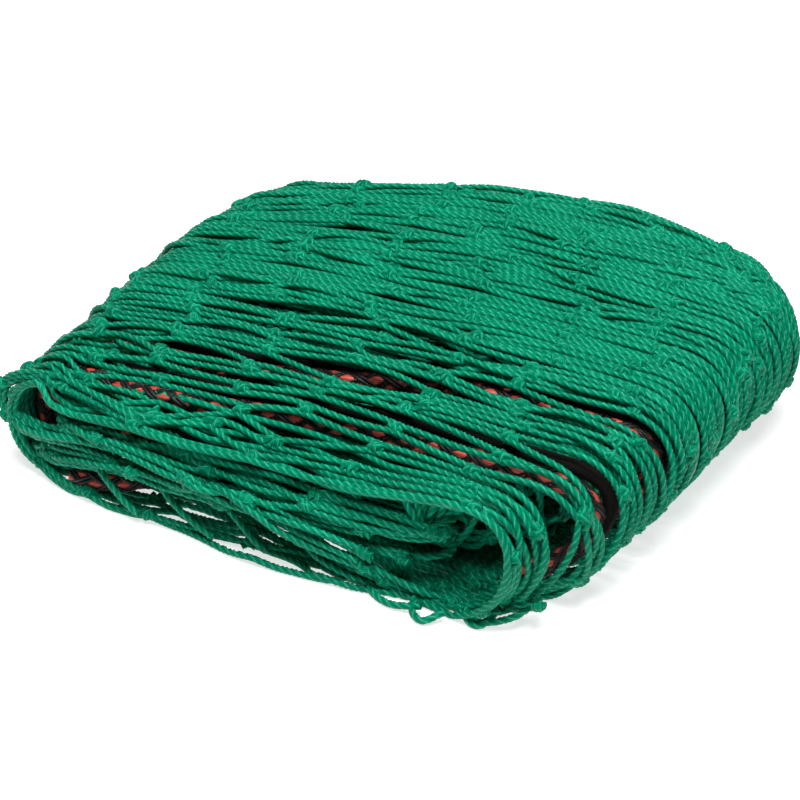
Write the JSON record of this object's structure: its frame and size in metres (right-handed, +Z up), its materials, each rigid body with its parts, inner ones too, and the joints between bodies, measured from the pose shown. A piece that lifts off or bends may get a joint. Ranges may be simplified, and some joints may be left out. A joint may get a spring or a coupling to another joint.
{
  "type": "trailer net",
  "caption": "Green knotted trailer net gathered and folded into a flat bundle, its red and black border rope and black elastic cord showing between the strands.",
  "frame": {"origin": "middle of the bundle's flat underside", "axes": "+X along the strands towards the wide fold, +Y along the folds from the near end to the far end, +Z up"},
  "size_m": [0.2744, 0.23, 0.0702],
  "materials": {
    "green_twine": "twisted polyethylene twine, soft sheen",
    "braided_rope": "red filament cells under black braid",
    "elastic_cord": "fine black braid, matt"
  },
  "bodies": {
    "root": {"net": "green_twine", "border_rope_near": "braided_rope", "border_rope_far": "braided_rope", "elastic_cord_near": "elastic_cord", "elastic_cord_far": "elastic_cord"}
  },
  "joints": []
}
